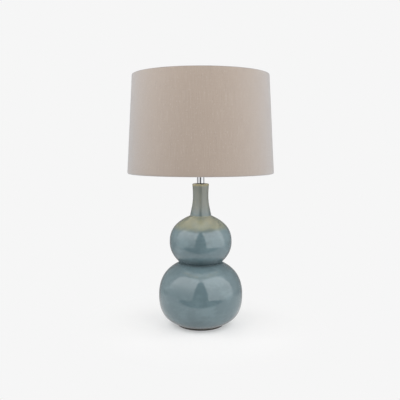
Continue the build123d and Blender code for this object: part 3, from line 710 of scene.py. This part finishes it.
def makeDarkFinish():
    material, root, _ = startFinish("darkRoom")
    closeFinish(root, {"Color": studio["roomColour"]}, "ShaderNodeBsdfDiffuse")
    return material


def makeSideFinish(name, level):
    material, root, _ = startFinish(name)
    closeFinish(root, {"Color": grey(level)}, "ShaderNodeEmission")
    return material


def makePanelFinish(name, bottom):
    # brighter upwards
    material, root, place = startFinish(name)
    upward = rising(axisOf(place, "Z"), 0.0, studio["panelFadeHeight"])
    colour = mixColours(upward, grey(bottom), grey(studio["panelTop"]))
    closeFinish(root, {"Color": colour}, "ShaderNodeEmission")
    return material


def makeTableGloss():
    # what the glaze reflects of the table: dim in the lamp's own shadow, and dimmer behind the lamp
    material, root, place = startFinish("tableInGloss")
    distance = lengthOf(place)
    behind = rising(axisOf(place, "Y"), -0.02, 0.35)
    lit = mixColours(behind, grey(studio["tableGloss"]), grey(studio["tableGlossBehind"]))
    clear = rising(distance, *studio["shadowRadii"])
    colour = mixColours(clear, grey(studio["tableShadow"]), lit)
    closeFinish(root, {"Color": colour}, "ShaderNodeEmission")
    return material


def makeBackFinish():
    # the unlit end of the room, which only gloss shows, fading from the sides to straight behind
    material, root, place = startFinish("roomBehind")
    inward = rising(axisOf(place, "Y"), 0.3, 1.3)
    colour = mixColours(inward, grey(studio["sideLevel"]), grey(studio["backLevel"]))
    closeFinish(root, {"Color": colour}, "ShaderNodeEmission")
    return material


floorFinish = makeFloorFinish()
darkFinish = makeDarkFinish()
drop, front = studio["floorDrop"], studio["tableFront"]
floorSide, floorFar = studio["floorHalfWidth"], studio["floorFar"]
roomSide, roomNear = studio["roomHalfWidth"], studio["roomNear"]
roomFloor, roomTop = studio["roomFloor"], studio["roomTop"]
stagePlane("tableTop", levelCorners(floorSide, studio["floorNear"], floorFar, drop), floorFinish,
           ("camera", "diffuse", "transmission", "shadow"))
stagePlane("tableGloss", levelCorners(floorSide, front, floorFar, drop), makeTableGloss(), ("glossy",))
stagePlane("roomFloor", levelCorners(roomSide, roomNear, front, roomFloor), darkFinish, ("glossy",))
corners = [(-roomSide, roomNear, roomFloor), (roomSide, roomNear, roomFloor),
           (roomSide, roomNear, roomTop), (-roomSide, roomNear, roomTop)]
stagePlane("roomWall", corners, darkFinish, ("glossy",))

# the two tall panels, one to each side, which reach in over the front
panelFoot, panelHead, panelNear = studio["panelFoot"], studio["panelHead"], studio["panelNear"]
outerX, outerY = studio["panelOuter"]
for side, sideName in ((-1, "Left"), (1, "Right")):
    corners = [(side * studio["panelInnerFoot"], panelNear, panelFoot), (side * outerX, outerY, panelFoot),
               (side * outerX, outerY, panelHead), (side * studio["panelInnerHead"], panelNear, panelHead)]
    panelFinish = makePanelFinish("panelGlow" + sideName, studio["panelBottoms"][sideName])
    stagePlane("softPanel" + sideName, corners, panelFinish, ("glossy", "diffuse", "transmission"))

# three more panels, out at the sides and behind, which only light
sideFoot, sideHead = Vector((0, 0, studio["sideFoot"])), Vector((0, 0, studio["sideHead"]))
for sideName, (angle, level) in studio["sidePanels"].items():
    turns = (math.radians(angle) + turn for turn in (-studio["sideHalfTurn"], studio["sideHalfTurn"]))
    near, far = (Vector((math.sin(turn), -math.cos(turn), 0.0)) * studio["sideDistance"] for turn in turns)
    corners = [near + sideFoot, far + sideFoot, far + sideHead, near + sideHead]
    stagePlane("sidePanel" + sideName, corners, makeSideFinish("sideGlow" + sideName, level), ("diffuse",))

# half a wall round the back, seen only in gloss
bm = bmesh.new()
backEdge = outlineChain(bm, [(studio["backRadius"], 0.0), (studio["backRadius"], studio["backHeight"])])
turnedAbout(bm, backEdge, math.radians(studio["backStart"]))
turnPart(bm, math.radians(studio["backTurn"]), studio["backSteps"])
stageMesh("backWall", bm, makeBackFinish(), ("glossy",))

# a small warm light over the bulb, clear of it screwed in or out, which lights the shade's liner
glowData = bpy.data.lights.new("shadeGlow", "POINT")
glowData.energy = studio["insideWatts"]
glowData.color = studio["insideColour"][:3]
glowData.shadow_soft_size = studio["insideRadius"]
glow = bpy.data.objects.new("shadeGlow", glowData)
bpy.context.scene.collection.objects.link(glow)
glow.location = (0, 0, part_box("bulb_glass")[1].z + studio["insideAboveBulb"])
glow.visible_camera = False
glow.visible_glossy = False
glow.visible_transmission = False

world = bpy.data.worlds.new("studioWorld")
bpy.context.scene.world = world
world.use_nodes = True
world.node_tree.nodes.clear()
worldRoot = Wire(world.node_tree)
direct = seenDirectly(worldRoot)
ambient, backdrop = (worldRoot.node("ShaderNodeBackground", None, {"Color": grey(1.0), "Strength": level})
                     for level in (studio["ambient"], studio["background"]))
worldGlow = worldRoot.node("ShaderNodeMixShader", None, {0: direct, 1: ambient, 2: backdrop})
worldRoot.node("ShaderNodeOutputWorld", None, {"Surface": worldGlow})
bpy.context.scene.view_settings.view_transform = "Standard"
print("studio lit")
